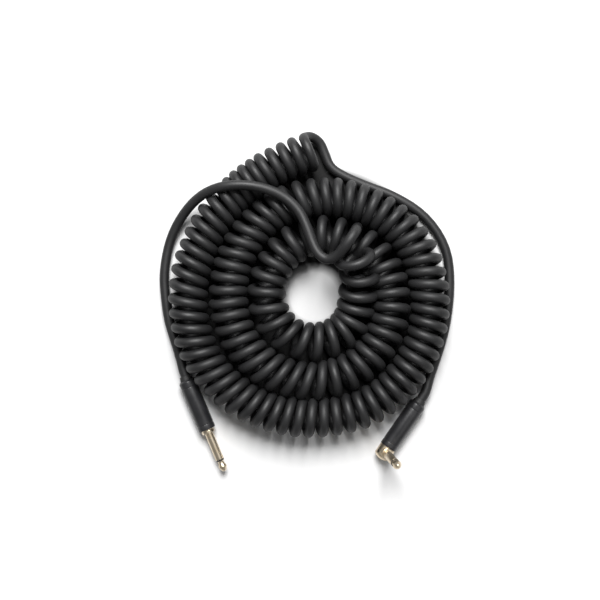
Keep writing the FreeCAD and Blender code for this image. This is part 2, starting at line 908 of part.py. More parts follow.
failed = [thing.Name for thing in doc.Objects if {"Invalid", "Error"} & set(thing.State)]
if failed:
    raise RuntimeError(f"not built: {failed}")
for thing in pieces:
    if thing.Shape.isNull() or not thing.Shape.isValid():
        raise RuntimeError(f"shape of {thing.Label} is null or not valid")
os.makedirs("parts", exist_ok=True)
for thing in pieces:
    thing.Shape.exportStep(f"parts/{thing.Label}.step")
box = Part.makeCompound([thing.Shape for thing in pieces]).BoundBox
print("pieces", len(pieces))
print("box", [round(value, 2) for value in (box.XMin, box.XMax, box.YMin, box.YMax, box.ZMin, box.ZMax)])
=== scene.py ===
import json
import math

import bmesh
import bpy
import numpy as np
from mathutils import Matrix, Vector


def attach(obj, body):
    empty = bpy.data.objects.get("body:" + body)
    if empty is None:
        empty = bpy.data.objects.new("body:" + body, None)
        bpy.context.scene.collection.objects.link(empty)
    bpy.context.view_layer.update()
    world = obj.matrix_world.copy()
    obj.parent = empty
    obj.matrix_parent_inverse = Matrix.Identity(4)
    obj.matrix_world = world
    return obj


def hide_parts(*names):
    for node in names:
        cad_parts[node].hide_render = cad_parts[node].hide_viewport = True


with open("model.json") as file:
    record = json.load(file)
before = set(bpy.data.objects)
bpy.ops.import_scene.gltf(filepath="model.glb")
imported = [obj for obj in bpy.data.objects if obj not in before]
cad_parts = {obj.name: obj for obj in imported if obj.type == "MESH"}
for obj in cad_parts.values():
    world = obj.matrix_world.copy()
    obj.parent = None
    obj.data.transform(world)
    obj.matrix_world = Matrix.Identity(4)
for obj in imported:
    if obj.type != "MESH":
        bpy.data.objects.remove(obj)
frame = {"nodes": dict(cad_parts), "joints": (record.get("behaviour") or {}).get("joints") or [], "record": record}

MM = 0.001
UP = Vector((0, 0, 1))
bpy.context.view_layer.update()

# Driving dimensions of the cord and its curls
CORD_D = 7.0 * MM
CORD_R = CORD_D / 2
JACKET_R = CORD_R + 0.1 * MM
CURL_D = 29.6 * MM
CURL_R = CURL_D / 2 - CORD_R

# Standard quarter-inch pin, from the end of its nose to the plug's collar, and the rod inside it
PIN_R = 6.35 / 2 * MM
PIN_REACH = 31.0 * MM
NOSE_END_R = 1.5 * MM
NOSE_LEN = 3.8 * MM
NECK_R = 2.15 * MM
TIP_LEN = 8.4 * MM
RING_LEN = 1.1 * MM
RING_INSET = 0.2 * MM
ROD_R = 1.0 * MM
RIVET_R = 1.5 * MM
RIVET_LEN = 0.8 * MM
TUBE_R = 1.65 * MM
TUBE_BORE_R = ROD_R * 1.05
SLEEVE_BORE_R = 1.7 * MM
SLEEVE_START = TIP_LEN + RING_LEN

# Collar behind the pin, thread and spigot from the shell's seat on, and the washer and lug there
COLLAR_R = 4.9 * MM
COLLAR_LEN = 3.0 * MM
COLLAR_GROOVE = 0.25 * MM
THREAD_R = 4.5 * MM
THREAD_ROOT_R = THREAD_R - 0.32 * MM
THREAD_CREST_R = THREAD_R - 0.02 * MM
THREAD_END_R = THREAD_R - 0.4 * MM
THREAD_START = 0.3 * MM
THREAD_LEN = 4.6 * MM
THREAD_PITCH = 0.75 * MM
SPIGOT_R = 2.9 * MM
SPIGOT_END = 7.0 * MM
WASHER_LEN = 1.2 * MM
TIP_LUG_PLATE = 0.5 * MM

# Shell, the grooves round it, each measured from its own end, and the soft bushing in its back
SHELL_R = 6.5 * MM
SHELL_WALL = 1.0 * MM
SHELL_LEN = 40.0 * MM
SHELL_BACK_WALL = 3.5 * MM
SHELL_BACK_CHAMFER = 1.1 * MM
SHELL_BACK_SLOPE = 1.4 * MM
GROOVE_DEPTH = 0.2 * MM
GROOVE_SLOPE = 0.2 * MM
GROOVE_FLOOR = 0.3 * MM
FRONT_GROOVE = 3.6 * MM
BACK_GROOVE = 6.0 * MM
FIT_GAP = 0.05 * MM
BUSHING_R = 4.6 * MM
BUSHING_BORE_R = 3.75 * MM
LIP_REACH = 0.25 * MM
LIP_START = 0.1 * MM
LIP_END = 0.8 * MM
LIP_END_REACH = 0.1 * MM
RELIEF_WALL = 0.3 * MM
RELIEF_LEN = 3.4 * MM

# Head of the right-angle plug, in front of the pin's axis and behind it, and the boss of the pin
HEAD_R = 6.2 * MM
HEAD_FRONT = 6.3 * MM
HEAD_BACK = 4.4 * MM
HEAD_CHAMFER = 0.3 * MM
HEAD_BORE_R = 2.3 * MM
HEAD_BORE_DEPTH = 2.2 * MM
DOME_DEPTH = 3.4 * MM
DOME_STEPS = 8
THREAD_UNDERCUT = 0.1 * MM
SLEEVE_IN_HEAD = 3.0 * MM
STRAP_HALF = 0.4 * MM
BOSS_R = 4.2 * MM
BOSS_BORE_R = 1.75 * MM
BOSS_REACH = 7.1 * MM
BOSS_CHAMFER = 0.1 * MM

# Turned pieces: how far their edges are rounded, their sides, and the angle of a sharp edge
FINE_EDGE = 0.12 * MM
PIN_EDGE = 0.25 * MM
SHELL_EDGE = 0.3 * MM
BOSS_EDGE = 0.5 * MM
TURNED_SIDES = 64
HEAD_SIDES = 72
SHELL_SIDES = 96
SHARP_EDGE = math.radians(32)


# Materials

CLOUD_DETAIL = 4.0
GRAIN_DETAIL = 2.0
# Shares of a cloud where its first value ends and its second begins
CLOUD_SHARES = (0.3, 0.7)
# Waves that a wave texture of scale one draws in a metre
WAVES_PER_METRE = 20 / (2 * math.pi)
RING_WOBBLE = {"Distortion": 0.4, "Detail Scale": 3.0}


def colour(hex_text):
    """An sRGB hex colour as linear red, green, blue and alpha."""
    parts = [int(hex_text[i:i + 2], 16) / 255 for i in (1, 3, 5)]
    return [p / 12.92 if p <= 0.04045 else ((p + 0.055) / 1.055) ** 2.4 for p in parts] + [1.0]


def add_node(tree, kind, settings=(), links=()):
    """Adds a node, gives its properties and sockets their values, and links its inputs."""
    node = tree.nodes.new(kind)
    for key, value in dict(settings).items():
        if isinstance(key, str) and hasattr(node, key):
            setattr(node, key, value)
        else:
            node.inputs[key].default_value = value
    for key, source in dict(links).items():
        tree.links.new(source, node.inputs[key])
    return node


def per_metre(size_mm):
    """How often a size in millimetres goes into a metre, as a texture's scale."""
    return 1000.0 / size_mm


def new_finish(name, colours, cloud_mm, rough, ior=1.5, metallic=0.0, grain_mm=0, rings_mm=0, depth_mm=0):
    """A finish whose colour and roughness drift in clouds, with a relief of grain or turned rings."""
    material = bpy.data.materials.new(name)
    material.use_nodes = True
    tree = material.node_tree
    shader = tree.nodes["Principled BSDF"]
    shader.inputs["Metallic"].default_value = metallic
    shader.inputs["IOR"].default_value = ior
    spot = add_node(tree, "ShaderNodeTexCoord").outputs["Object"]
    settings = {"Scale": per_metre(cloud_mm), "Detail": CLOUD_DETAIL}
    cloud = add_node(tree, "ShaderNodeTexNoise", settings, {"Vector": spot}).outputs[0]
    ramp = add_node(tree, "ShaderNodeValToRGB", links={"Fac": cloud})
    for stop, share, hex_text in zip(ramp.color_ramp.elements, CLOUD_SHARES, colours):
        stop.position = share
        stop.color = colour(hex_text)
    tree.links.new(ramp.outputs[0], shader.inputs["Base Color"])
    settings = {1: CLOUD_SHARES[0], 2: CLOUD_SHARES[1], 3: rough[0], 4: rough[1]}
    roughness = add_node(tree, "ShaderNodeMapRange", settings, {0: cloud})
    tree.links.new(roughness.outputs[0], shader.inputs["Roughness"])
    if grain_mm:
        settings = {"Scale": per_metre(grain_mm), "Detail": GRAIN_DETAIL}
        height = add_node(tree, "ShaderNodeTexNoise", settings, {"Vector": spot}).outputs[0]
    if rings_mm:
        settings = {"wave_type": "BANDS", "bands_direction": "Z", **RING_WOBBLE}
        settings["Scale"] = per_metre(rings_mm) / WAVES_PER_METRE
        height = add_node(tree, "ShaderNodeTexWave", settings, {"Vector": spot}).outputs[1]
    if depth_mm:
        settings = {"Strength": 1.0, "Distance": depth_mm * MM}
        relief = add_node(tree, "ShaderNodeBump", settings, {"Height": height})
        tree.links.new(relief.outputs[0], shader.inputs["Normal"])
    return material


# PVC cord jacket, extruded: satin black, faint orange peel, a little dulled by handling.
JACKET = new_finish(
    "extruded_pvc_jacket", ("#161617", "#1e1e1f"), cloud_mm=22.0, rough=(0.5, 0.62), ior=1.53,
    grain_mm=0.9, depth_mm=0.02,
)
# Gold plate on turned brass: warm sheen, rubbed duller in patches, with faint tool rings that
# are drawn much farther apart than real ones, so that they show.
GOLD = new_finish(
    "gold_plated_brass", ("#eddfc8", "#dac8aa"), cloud_mm=5.0, rough=(0.26, 0.38), metallic=1.0,
    rings_mm=2.5133, depth_mm=0.004,
)
# Satin black lacquer on turned brass: soft sheen, worn paler in patches, rings drawn as on the gold.
SHELL = new_finish(
    "satin_black_lacquer", ("#1e1e20", "#28282a"), cloud_mm=9.0, rough=(0.3, 0.44),
    rings_mm=3.1416, depth_mm=0.006,
)
lacquer = SHELL.node_tree.nodes["Principled BSDF"]
lacquer.inputs["Coat Weight"].default_value = 0.15
lacquer.inputs["Coat Roughness"].default_value = 0.25
# Black acetal, moulded: smooth with a soft gloss.
ACETAL = new_finish(
    "moulded_black_acetal", ("#191919", "#232323"), cloud_mm=3.0, rough=(0.25, 0.35), ior=1.48,
    grain_mm=0.375, depth_mm=0.004,
)
# Soft rubber, moulded: dull black with a fine grain.
RUBBER = new_finish(
    "moulded_soft_rubber", ("#1a1a1a", "#262626"), cloud_mm=4.0, rough=(0.6, 0.75), ior=1.52,
    grain_mm=0.5, depth_mm=0.02,
)
# Tin-plated brass, pressed: grey, cloudy, half dull.
TIN = new_finish(
    "tinned_brass", ("#b9bab6", "#d2d2ce"), cloud_mm=3.0, rough=(0.28, 0.42), metallic=1.0,
    grain_mm=0.375, depth_mm=0.006,
)
# Bare copper strands, twisted: orange-brown with darker streaks.
COPPER = new_finish(
    "bare_copper_strands", ("#b4694a", "#cf8e68"), cloud_mm=0.6, rough=(0.3, 0.45), metallic=1.0,
    grain_mm=0.075, depth_mm=0.05,
)
# Polyethylene, extruded: milky white, waxy.
POLYTHENE = new_finish(
    "white_polyethylene", ("#dedcd4", "#eeece6"), cloud_mm=4.0, rough=(0.35, 0.45), ior=1.51,
    grain_mm=0.5, depth_mm=0.004,
)
# Polyester film, rolled: pale, stiff and shiny.
FILM = new_finish(
    "polyester_film", ("#c9cfd0", "#dde2e2"), cloud_mm=8.0, rough=(0.12, 0.2), ior=1.58,
    grain_mm=1.0, depth_mm=0.004,
)


# Camera: straight above the coil, as the photograph is taken

PHOTO_SCALE = 0.75 * MM
PHOTO_PIXELS = 600
CAMERA_X = -5.55 * MM
CAMERA_Y = 2.45 * MM
CAMERA_HEIGHT = 0.7
# Height at which a pixel of the photograph measures the scale above
SCALE_HEIGHT = 8.0 * MM
SENSOR_WIDTH = 36.0
camera_data = bpy.data.cameras.new("camera")
camera = bpy.data.objects.new("camera", camera_data)
bpy.context.scene.collection.objects.link(camera)
camera.location = (CAMERA_X, CAMERA_Y, CAMERA_HEIGHT)
camera_data.sensor_width = SENSOR_WIDTH
camera_data.lens = SENSOR_WIDTH * (CAMERA_HEIGHT - SCALE_HEIGHT) / (PHOTO_PIXELS * PHOTO_SCALE)
bpy.context.scene.camera = camera


# The cord: one spline from the straight plug's jacket end to the right-angle plug's

def smooth_line(name, points, steps):
    """An open quadratic NURBS curve with these control points."""
    data = bpy.data.curves.new(name, "CURVE")
    data.dimensions = "3D"
    data.resolution_u = steps
    spline = data.splines.new("NURBS")
    spline.points.add(len(points) - 1)
    for held, point in zip(spline.points, points):
        held.co = (*point, 1)
    spline.order_u = 3
    spline.use_endpoint_u = True
    thing = bpy.data.objects.new(name, data)
    bpy.context.scene.collection.objects.link(thing)
    return thing


def read_points(thing):
    """Points of a curve as Blender draws it. The curve itself is removed."""
    mesh = bpy.data.meshes.new_from_object(thing)
    points = np.array([vertex.co for vertex in mesh.vertices])
    bpy.data.meshes.remove(mesh)
    bpy.data.objects.remove(thing)
    return points


def millimetres(rows):
    """Rows of millimetres as vectors in metres."""
    return [Vector(row) * MM for row in rows]


# The wound tube's middle in plan, as a bearing round the hole's middle and a distance from it:
# the stretch outside the rings, then the rings, twelve points to a turn, then the way up.
TUBE_LOW = CURL_D / 2
HOLE_MIDDLE = Vector((4.95, 5.45, 0)) * MM
OPENING = [(88.3, 109.0), (97.4, 104.4), (108.6, 100.4), (123.0, 97.0), (137.4, 95.2), (155.0, 94.0)]
RINGS_FROM = 180.0
POINTS_PER_TURN = 12
RING_RADII = [
    93.2, 95.2, 93.0, 90.0, 91.2, 88.8, 85.8, 83.4, 77.4, 72.8, 69.0, 64.5, 63.5, 64.0, 64.0,
    63.3, 61.4, 59.2, 57.2, 54.4, 48.7, 45.0, 40.2, 36.2, 35.2, 34.9, 34.5, 34.3, 34.0, 33.7,
]
# The rings' control points lie this much farther out than the line that they draw.
CORNER_REACH = 1.035
CLIMB = [(38.6, 19.5, 23.5), (35.5, 31.5, 35.0), (27.5, 42.0, 42.0)]
TUBE_STEPS = 24


def tube_route():
    """Control points of the wound tube's route."""
    places = list(OPENING)
    for step, radius in enumerate(RING_RADII):
        places.append((RINGS_FROM + 360 * step / POINTS_PER_TURN, radius * CORNER_REACH))
    points = []
    for bearing, radius in places:
        angle = math.radians(bearing)
        across = Vector((math.cos(angle), math.sin(angle), 0)) * radius * MM
        points.append(HOLE_MIDDLE + across + UP * TUBE_LOW)
    return points + millimetres(CLIMB)


# Curls counted from the outer end against the bearing of the tube round the hole's middle,
# which grows as the tube winds inwards.
CURLS_AT = [
    (88, -0.4), (92.2, 0.5), (111.2, 4.5), (132, 9.5), (165, 15.5), (201, 21.5), (235, 27.5),
    (268.5, 33.5), (304.6, 39.5), (340, 45.5), (378.6, 51.5), (417.2, 57.5), (450, 62.5),
    (465.3, 64.5), (487, 67.5), (520, 71.5), (553.2, 75.5), (588.4, 79.5), (625.3, 83.5),
    (664, 87.5), (701.7, 91.5), (742.5, 95.5), (789.4, 99.5), (832.2, 102.5), (861.2, 104.5),
    (896.2, 106.5), (936.4, 108.5), (977, 110.5), (1013.8, 112.5), (1047.3, 114.5),
    (1082.5, 116.5), (1105, 117.5), (1124.5, 118.5), (1138.3, 119.5),
]
# How far a curl's inner side leads its outer side, beyond a plain winding, in millimetres.
LEAN_AT = [
    (88, -5.0), (111, -3.7), (132, 1.0), (200, 2.6), (234, 2.6), (290, -3.0), (310, -3.0),
    (345, -1.0), (375, 2.0), (400, -1.0), (420, -4.6), (440, -6.5), (470, -9.0), (509, -9.0),
    (520, -4.6), (545, -4.6), (560, -1.5), (590, 3.7), (630, 3.7), (655, -4.6), (720, -4.0),
    (740, -1.0), (800, -2.0), (828, -4.0), (900, -3.0), (920, 0.5), (1000, 0.5), (1050, -1.5),
    (1080, -3.8), (1105, -4.2), (1124, -0.6), (1140, 0.0),
]
STEPS_PER_CURL = 12
FIRST_CURL = 0.25
LAST_CURL = 119.0
# A quadratic spline round a circle's control points draws this share of their radius.
DRAWN_SHARE = 0.75 + 0.25 * math.cos(2 * math.pi / STEPS_PER_CURL)
# Curls differ in width by this share at most, in two slow waves that don't fall in step.
LOOSENESS = 0.02
LOOSE_WAVES = (1.7, 0.53)


def along_table(table, bearings):
    """Values of a table of (bearing, value) at these bearings."""
    at, value = zip(*table)
    return np.interp(bearings, at, value)


def unwound(points):
    """Bearings of the points round the hole's middle, growing from the first."""
    offset = points - np.array(HOLE_MIDDLE)
    return np.degrees(np.unwrap(np.arctan2(offset[:, 1], offset[:, 0])))


def curls(route):
    """Control points of the curls, laid round the tube's route from its outer end."""
    middle = read_points(smooth_line("tube_route", route, TUBE_STEPS))
    bearing = unwound(middle)
    counted = along_table(CURLS_AT, bearing)
    lean = along_table(LEAN_AT, bearing) * MM
    steps = round((LAST_CURL - FIRST_CURL) * STEPS_PER_CURL)
    turns = np.linspace(FIRST_CURL, LAST_CURL, steps + 1)
    spots = np.stack([np.interp(turns, counted, middle[:, axis]) for axis in range(3)], axis=1)
    leans = np.interp(turns, counted, lean)
    slopes = np.gradient(middle, axis=0)
    ways = np.stack([np.interp(turns, counted, slopes[:, axis]) for axis in range(3)], axis=1)
    reach = CURL_R / DRAWN_SHARE
    points = []
    for turn, spot, way, lead in zip(turns, spots, ways, leans):
        way = Vector(way).normalized()
        outward = way.cross(UP).normalized()
        over = outward.cross(way)
        angle = 2 * math.pi * turn - math.pi / 2
        loose = 1 + LOOSENESS * math.sin(LOOSE_WAVES[0] * turn) * math.sin(LOOSE_WAVES[1] * turn)
        side = outward * math.cos(angle) * reach * loose
        rise = over * math.sin(angle) * reach * loose
        shift = way * (-math.cos(angle) * lead / 2)
        # A wider curl stands higher, so that its low side stays on the table.
        lift = UP * (reach * (loose - 1))
        points.append(Vector(spot) + side + rise + shift + lift)
    return points


def plug_frame(origin, y_axis, z_axis):
    """Matrix of a frame with these axes at a point."""
    z_axis = z_axis.normalized()
    x_axis = y_axis.cross(z_axis).normalized()
    y_axis = z_axis.cross(x_axis)
    columns = Matrix((x_axis, y_axis, z_axis)).transposed()
    return Matrix.Translation(origin) @ columns.to_4x4()


def joint_seat(plug):
    """Seat of a plug's shell and the direction towards the cord, from the shell's joint."""
    joint = next(j for j in frame["joints"] if j["name"] == plug + "_shell_turn")
    return Vector(joint["pos_m"]), Vector(joint["axis"]).normalized()


def pin_frame(plug, y_axis):
    """Frame at the end of a plug's pin, Z towards the cord, from the pin's mount."""
    mounts = {mount["name"]: mount for mount in frame["record"]["mounts"]}
    mount = mounts[plug + "_pin"]
    axis = Vector(mount["axis"]).normalized()
    half = mount["dims"]["length_mm"] / 2 * MM
    end = Vector(mount["pos_m"]) + axis * (half + SLEEVE_START)
    return plug_frame(end, y_axis, -axis)


straight_seat, straight_back = joint_seat("straight")
angle_seat, angle_back = joint_seat("angle")
straight_pin = pin_frame("straight", UP)
angle_pin = pin_frame("angle", angle_back)
angle_rise = -Vector(angle_pin.col[2][:3])
straight_handle = plug_frame(straight_seat, UP, straight_back)
angle_handle = plug_frame(angle_seat, angle_rise, angle_back)

# Distances from a shell's seat along its axis, where the jacket ends and the cord still runs straight
JACKET_END = 22.0 * MM
STRAIGHT_RUN = 45.0 * MM
ANGLE_RUN = 45.0 * MM
ANGLE_RUN_OUT = 50.0 * MM
# Free points of the tails, from the straight plug up over the rings to the inner curl, and
# from the outer curl along the table to the right-angle plug
STRAIGHT_TAIL = [
    (-94.8, -43.5, 6.0), (-99.4, -29.0, 4.6), (-104.8, -12.5, 3.8), (-107.0, 4.0, 3.8),
    (-108.5, 22.3, 3.8), (-103.9, 48.1, 4.5), (-92.8, 67.5, 10.0), (-78.2, 80.3, 21.5),
    (-60.5, 85.6, 33.5), (-38.4, 85.5, 33.6), (-19.0, 79.0, 34.2), (-6.2, 67.5, 35.6),
    (-0.4, 54.5, 37.5), (3.2, 43.5, 39.5), (7.5, 34.8, 41.0), (14.5, 30.4, 42.5),
    (22.3, 34.8, 47.0), (28.6, 43.5, 52.8), (34.2, 51.5, 49.5), (35.2, 53.5, 37.0),
]
ANGLE_TAIL = [
    (2.4, 125.4, 8.5), (9.8, 121.4, 4.6), (13.5, 111.5, 3.6), (17.5, 101.8, 3.5),
    (29.0, 95.0, 3.5), (45.0, 88.2, 3.5), (64.8, 81.4, 3.6), (89.2, 66.4, 3.5),
    (105.5, 42.0, 3.6), (108.0, 15.0, 3.5), (105.6, -10.0, 3.6), (101.6, -28.0, 3.7),
    (96.8, -42.5, 4.0), (92.0, -55.5, 5.2),
]
CORD_STEPS = 4
CORD_ROUNDING = 5


def cord_route():
    """All control points of the cord, plug to plug."""
    start = [straight_seat + straight_back * way for way in (JACKET_END, STRAIGHT_RUN)]
    end = [angle_seat + angle_back * way for way in (ANGLE_RUN_OUT, ANGLE_RUN, JACKET_END)]
    wound = curls(tube_route())
    return start + millimetres(STRAIGHT_TAIL) + wound[::-1] + millimetres(ANGLE_TAIL) + end


cord = smooth_line("coiled_cord", cord_route(), CORD_STEPS)
cord.data.bevel_depth = JACKET_R
cord.data.bevel_resolution = CORD_ROUNDING
cord.data.use_fill_caps = True
cord.data.materials.append(JACKET)


# Turned pieces

# Below this radius a point of an outline is on the axis.
ON_AXIS = 0.0001 * MM
# A rounded corner takes at most this share of each side, and below this size it stays sharp.
CORNER_SHARE = 0.45
LEAST_ROUNDING = 0.02 * MM


def lathe(name, outline, place, material, sides=TURNED_SIDES, body="cable"):
    """A turned piece: a closed outline of (radius, height) points swept round its own Z."""
    mesh = bpy.data.meshes.new(name)
    work = bmesh.new()
    rings = []
    for radius, height in outline:
        if radius < ON_AXIS:
            rings.append([work.verts.new((0, 0, height))])
            continue
        ring = []
        for side in range(sides):
            angle = 2 * math.pi * side / sides
            ring.append(work.verts.new((radius * math.cos(angle), radius * math.sin(angle), height)))
        rings.append(ring)
    for lower, upper in zip(rings, rings[1:] + rings[:1]):
        for side in range(sides):
            following = (side + 1) % sides
            corners = []
            for ring, at in ((lower, side), (lower, following), (upper, following), (upper, side)):
                vertex = ring[at % len(ring)]
                if vertex not in corners:
                    corners.append(vertex)
            if len(corners) > 2:
                work.faces.new(corners)
    bmesh.ops.recalc_face_normals(work, faces=work.faces)
    work.to_mesh(mesh)
    work.free()
    mesh.materials.append(material)
    mesh.shade_smooth()
    mesh.set_sharp_from_angle(angle=SHARP_EDGE)
    piece = bpy.data.objects.new(name, mesh)
    bpy.context.scene.collection.objects.link(piece)
    piece.matrix_world = place
    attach(piece, body)
    return piece


def eased(outline, radius, steps=3):
    """The outline with each of its corners off the axis rounded by a small arc."""
    eased_outline = []
    for here, point in enumerate(outline):
        before = Vector(outline[here - 1])
        after = Vector(outline[(here + 1) % len(outline)])
        point = Vector(point)
        way_in = point - before
        way_out = after - point
        room = min(radius, way_in.length * CORNER_SHARE, way_out.length * CORNER_SHARE)
        if point.x < ON_AXIS or room < LEAST_ROUNDING:
            eased_outline.append(tuple(point))
            continue
        first = point - way_in.normalized() * room
        last = point + way_out.normalized() * room
        for step in range(steps + 1):
            share = step / steps
            mixed = first * (1 - share) ** 2 + point * (2 * share * (1 - share)) + last * share ** 2
            eased_outline.append(tuple(mixed))
    return eased_outline


# The contact tip's outline in four stretches, each point as radius and distance from the nose's end
NOSE_END = [(0, 0), (NOSE_END_R * 0.7, 0.12 * MM), (NOSE_END_R * 1.05, 0.55 * MM)]
NOSE_FLARE = [(PIN_R * 0.8, 2.2 * MM), (PIN_R * 0.95, 3.1 * MM), (PIN_R, NOSE_LEN)]
CROWN_FALL = [(PIN_R * 0.96, 4.4 * MM), (PIN_R * 0.84, 5.3 * MM), (NECK_R * 1.08, 6.3 * MM)]
NECK_HOLLOW = [(NECK_R, 7.2 * MM), (NECK_R * 1.04, 7.8 * MM), (NECK_R * 1.2, TIP_LEN)]


def contact_tip(plug, place, rivet_start):
    """Tip contact: rounded nose, crown, hollow neck, and the centre rod with its rivet head."""
    rivet_end = rivet_start + RIVET_LEN
    rod = [
        (ROD_R, TIP_LEN), (ROD_R, rivet_start), (RIVET_R, rivet_start), (RIVET_R, rivet_end),
        (0, rivet_end),
    ]
    outline = NOSE_END + NOSE_FLARE + CROWN_FALL + NECK_HOLLOW + rod
    piece = lathe(plug + "_tip", outline, place, GOLD)
    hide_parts(plug + "_contact_tip")
    return piece


def insulating_ring(plug, place, end):
    """Insulating ring between tip and sleeve, in one with the tube round the rod."""
    ring_r = PIN_R - RING_INSET
    outline = [
        (TUBE_BORE_R, TIP_LEN), (ring_r, TIP_LEN), (ring_r, SLEEVE_START), (TUBE_R, SLEEVE_START),
        (TUBE_R, end), (TUBE_BORE_R, end),
    ]
    piece = lathe(plug + "_insulating_ring", eased(outline, FINE_EDGE), place, ACETAL)
    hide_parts(plug + "_tip_insulator")
    return piece


# Where a thread's ridge has its crest, and the least length that holds one, as shares of the pitch
CREST_SHARES = (0.4, 0.55)
RIDGE_SHARE = 0.6


def thread_ridges(seat):
    """Outline of the row of ridges that the shell screws onto, behind its seat."""
    ridges = []
    height = seat + THREAD_START
    while height < seat + THREAD_LEN - THREAD_PITCH * RIDGE_SHARE:
        ridges.append((THREAD_ROOT_R, height))
        for share in CREST_SHARES:
            ridges.append((THREAD_CREST_R, height + THREAD_PITCH * share))
        height += THREAD_PITCH
    return ridges


# Where the collar's groove starts, reaches its floor, leaves it and ends, as shares of the collar
COLLAR_SHARES = (0.62, 0.7, 0.82, 0.9)


def straight_sleeve():
    """Sleeve of the straight plug, turned in one with its collar, thread and spigot."""
    seat = PIN_REACH + COLLAR_LEN
    groove_r = COLLAR_R - COLLAR_GROOVE
    start, floor_start, floor_end, end = [PIN_REACH + COLLAR_LEN * share for share in COLLAR_SHARES]
    front = eased([
        (SLEEVE_BORE_R, SLEEVE_START), (PIN_R, SLEEVE_START), (PIN_R, PIN_REACH), (COLLAR_R, PIN_REACH),
        (COLLAR_R, start), (groove_r, floor_start), (groove_r, floor_end), (COLLAR_R, end),
        (COLLAR_R, seat), (THREAD_ROOT_R, seat),
    ], PIN_EDGE)[:-1]
    ridges = [(THREAD_ROOT_R, seat)] + thread_ridges(seat)
    back = [
        (THREAD_END_R, seat + THREAD_LEN), (SPIGOT_R, seat + THREAD_LEN), (SPIGOT_R, seat + SPIGOT_END),
        (SLEEVE_BORE_R, seat + SPIGOT_END),
    ]
    piece = lathe("straight_pin_sleeve", front + ridges + back, straight_pin, GOLD)
    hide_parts("straight_sleeve")
    return piece


def angle_sleeve():
    """Sleeve of the right-angle plug, with the spigot pressed into the head."""
    end = PIN_REACH + SLEEVE_IN_HEAD
    outline = [
        (SLEEVE_BORE_R, SLEEVE_START), (PIN_R, SLEEVE_START), (PIN_R, PIN_REACH), (SPIGOT_R, PIN_REACH),
        (SPIGOT_R, end), (SLEEVE_BORE_R, end),
    ]
    piece = lathe("angle_pin_sleeve", eased(outline, PIN_EDGE), angle_pin, GOLD)
    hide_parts("angle_sleeve")
    return piece


def shell_groove(start):
    """Outline of a shallow groove round the shell."""
    floor_r = SHELL_R - GROOVE_DEPTH
    floor_start = start + GROOVE_SLOPE
    floor_end = floor_start + GROOVE_FLOOR
    end = floor_end + GROOVE_SLOPE
    return [(SHELL_R, start), (floor_r, floor_start), (floor_r, floor_end), (SHELL_R, end)]


def shell(plug, place):
    """Screwed shell: eased mouth, two fine grooves, tapered back and the bore inside."""
    mouth_r = THREAD_R + FIT_GAP
    bore_r = SHELL_R - SHELL_WALL
    hole_r = BUSHING_R + FIT_GAP
    back = SHELL_LEN - SHELL_BACK_WALL
    outside = [(mouth_r, 0), (SHELL_R, 0)]
    for groove_start in (FRONT_GROOVE, SHELL_LEN - BACK_GROOVE):
        outside += shell_groove(groove_start)
    outside += [(SHELL_R, SHELL_LEN - SHELL_BACK_SLOPE), (SHELL_R - SHELL_BACK_CHAMFER, SHELL_LEN)]
    inside = [
        (hole_r, SHELL_LEN), (hole_r, back), (bore_r, back), (bore_r, THREAD_LEN), (mouth_r, THREAD_LEN),
    ]
    outline = eased(outside + inside, SHELL_EDGE)
    piece = lathe(plug + "_barrel", outline, place, SHELL, SHELL_SIDES, plug + "_shell_body")
    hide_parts(plug + "_shell")
    return piece


def bushing(plug, place):
    """Soft bushing: fills the back hole and tapers out over the cord."""
    back = SHELL_LEN - SHELL_BACK_WALL
    end = SHELL_LEN + RELIEF_LEN
    outline = [
        (BUSHING_BORE_R, back), (BUSHING_R, back), (BUSHING_R, SHELL_LEN),
        (BUSHING_R + LIP_REACH, SHELL_LEN + LIP_START), (BUSHING_R + LIP_END_REACH, SHELL_LEN + LIP_END),
        (BUSHING_BORE_R + RELIEF_WALL, end), (BUSHING_BORE_R, end),
    ]
    outline = eased(outline, PIN_EDGE)
    piece = lathe(plug + "_strain_relief", outline, place, RUBBER, body=plug + "_shell_body")
    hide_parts(plug + "_bushing")
    return piece


def angle_head():
    """Head of the right-angle plug: domed block with thread and spigot, and the pin's boss."""
    seat = HEAD_FRONT + HEAD_BACK
    dome = []
    for step in range(DOME_STEPS + 1):
        angle = math.pi / 2 * step / DOME_STEPS
        dome.append((HEAD_R * math.sin(angle), DOME_DEPTH * (1 - math.cos(angle))))
    back = [
        (HEAD_R, seat - HEAD_CHAMFER), (HEAD_R - HEAD_CHAMFER, seat), (THREAD_ROOT_R, seat),
        (THREAD_ROOT_R, seat + THREAD_UNDERCUT),
    ]
    bore_end = HEAD_FRONT - HEAD_BORE_DEPTH
    spigot = [
        (THREAD_END_R, seat + THREAD_LEN), (SPIGOT_R, seat + THREAD_LEN), (SPIGOT_R, seat + SPIGOT_END),
        (HEAD_BORE_R, seat + SPIGOT_END), (HEAD_BORE_R, bore_end), (0, bore_end),
    ]
    place = angle_handle @ Matrix.Translation((0, 0, -seat))
    outline = dome + back + thread_ridges(seat) + spigot
    block = lathe("angle_head_block", outline, place, GOLD, HEAD_SIDES)
    boss_outline = eased([
        (BOSS_BORE_R, 0), (BOSS_R, 0), (BOSS_R, BOSS_REACH - BOSS_CHAMFER), (BOSS_BORE_R, BOSS_REACH),
    ], BOSS_EDGE, steps=4)
    boss_place = plug_frame(angle_handle @ Vector((0, 0, -HEAD_BACK)), angle_back, angle_rise)
    boss = lathe("angle_head_boss", boss_outline, boss_place, GOLD, HEAD_SIDES)
    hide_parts("angle_head")
    return [block, boss]


